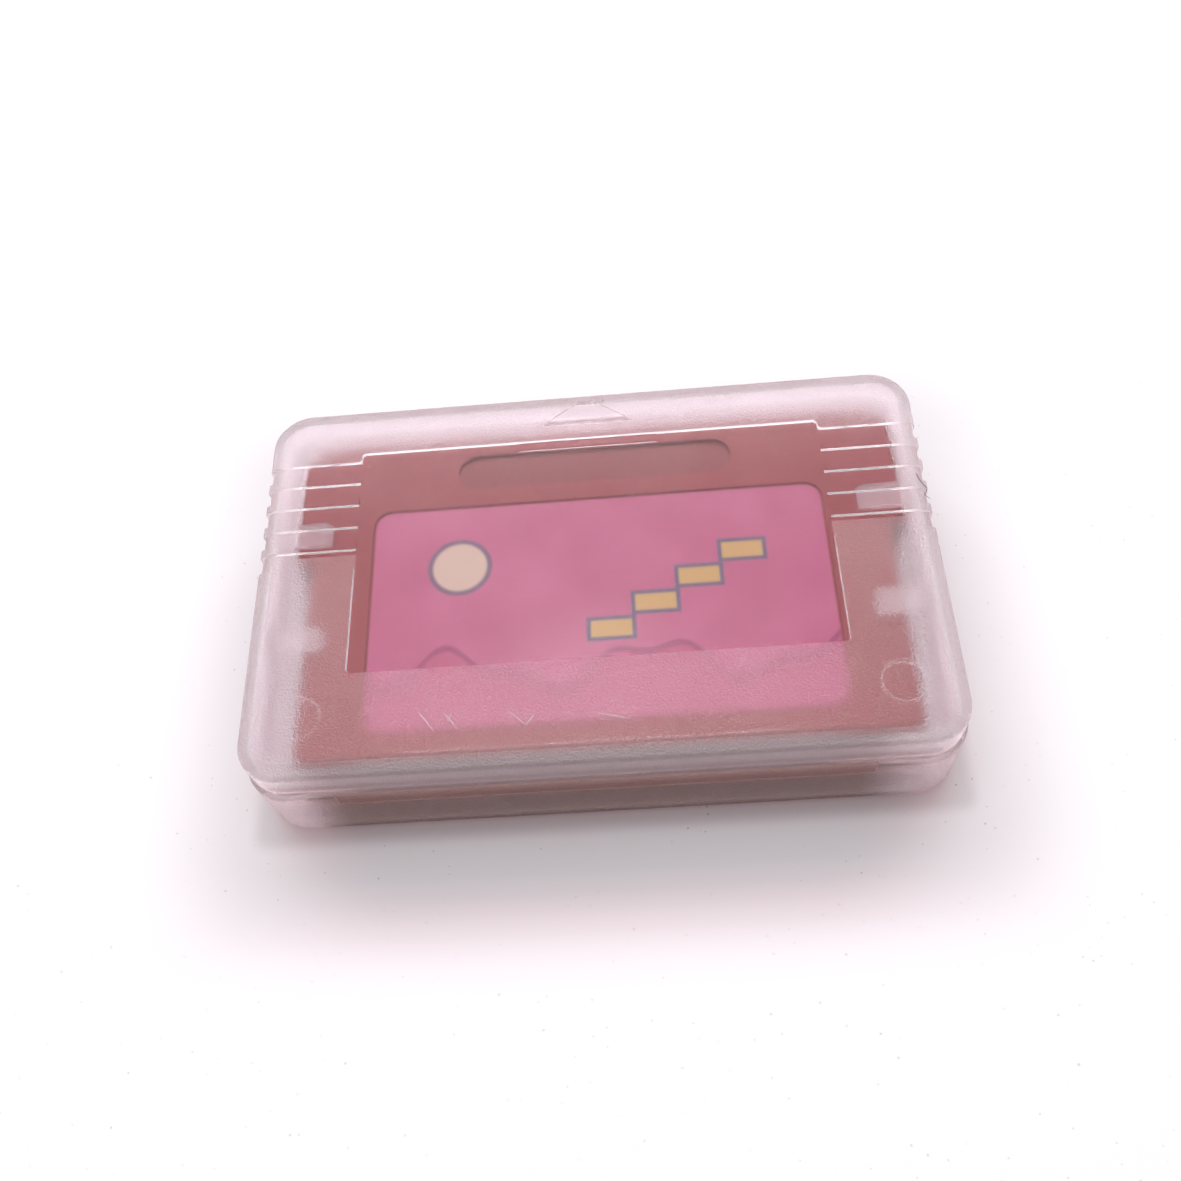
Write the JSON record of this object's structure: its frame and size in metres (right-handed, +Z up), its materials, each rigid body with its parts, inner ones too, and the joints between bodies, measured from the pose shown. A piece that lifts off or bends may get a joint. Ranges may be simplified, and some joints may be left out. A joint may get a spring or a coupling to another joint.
{
  "type": "cased game cartridge",
  "caption": "Game cartridge with a printed label and its circuit board inside, lying in a frosted clamshell case whose lid swings open on a film hinge.",
  "frame": {"origin": "on the table under the middle of the base", "axes": "+X along the film hinge, +Y towards the edge that opens, +Z up"},
  "size_m": [0.0636, 0.04, 0.0125],
  "materials": {
    "case_plastic": "frosted translucent polypropylene",
    "shell_plastic": "satin moulded",
    "label_print": "printed film",
    "screw_steel": "zinc plated",
    "board_green": "solder mask",
    "contact_gold": "gold plated",
    "chip_black": "moulded epoxy",
    "tinned_metal": "tinned",
    "bright_steel": "bright nickel",
    "capacitor_ceramic": "ceramic"
  },
  "bodies": {
    "base": {"case_base": "case_plastic", "hinge_film": "case_plastic", "cartridge_front_shell": "shell_plastic", "cartridge_rear_shell": "shell_plastic", "front_label": "label_print", "shell_screw": "screw_steel", "circuit_board": "board_green", "edge_contacts": "contact_gold", "rom_chip": "chip_black", "save_chip": "chip_black", "clock_chip": "chip_black", "resistors": "chip_black", "rom_chip_leads": "tinned_metal", "save_chip_leads": "tinned_metal", "clock_chip_leads": "tinned_metal", "crystal_leads": "tinned_metal", "capacitor_ends": "tinned_metal", "resistor_ends": "tinned_metal", "clock_crystal": "bright_steel", "battery_cell": "bright_steel", "battery_positive_tab": "bright_steel", "battery_negative_tab": "bright_steel", "capacitors": "capacitor_ceramic"},
    "lid": {"case_lid": "case_plastic"}
  },
  "joints": [
    {"name": "lid_hinge", "type": "hinge", "parent": "base", "child": "lid", "pos_m": [0, -0.01995, 0.00735], "axis": [1, 0, 0], "range_deg": [0, 180]}
  ]
}
